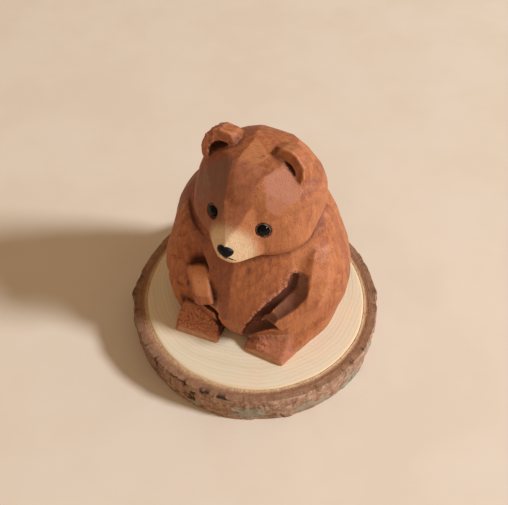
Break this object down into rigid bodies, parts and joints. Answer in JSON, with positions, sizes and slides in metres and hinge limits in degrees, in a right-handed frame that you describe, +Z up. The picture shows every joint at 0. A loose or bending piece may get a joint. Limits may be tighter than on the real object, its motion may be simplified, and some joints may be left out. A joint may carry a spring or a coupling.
{
  "type": "carved wooden bear figurine",
  "caption": "Seated bear carved from one block of wood with bead eyes and a black nose, standing on a bark-edged slice of branch.",
  "frame": {"origin": "middle of the slice's underside, at the centre of the whole object's outline", "axes": "+Z up, the bear faces -Y, +X to the bear's left"},
  "size_m": [0.0898, 0.089, 0.0913],
  "materials": {
    "carved_wood": "oiled, knife-cut",
    "eye_bead": "polished black",
    "eye_cement": "dull grey-brown",
    "black_lacquer": "satin black lacquer",
    "slice_wood": "raw, sanded end grain",
    "inner_bark": "raw, fibrous",
    "outer_bark": "rough bark"
  },
  "bodies": {
    "slice": {"slice_wood": "slice_wood", "slice_inner_bark": "inner_bark", "slice_outer_bark": "outer_bark"},
    "bear": {"bear_carving": "carved_wood", "left_eye": "eye_bead", "right_eye": "eye_bead", "left_eye_cement": "eye_cement", "right_eye_cement": "eye_cement", "nose": "black_lacquer", "mouth": "black_lacquer"}
  },
  "joints": [
    {"name": "bear_lift", "type": "slide", "parent": "slice", "child": "bear", "axis": [0, 0, 1], "range_m": [0, 0.09]}
  ]
}
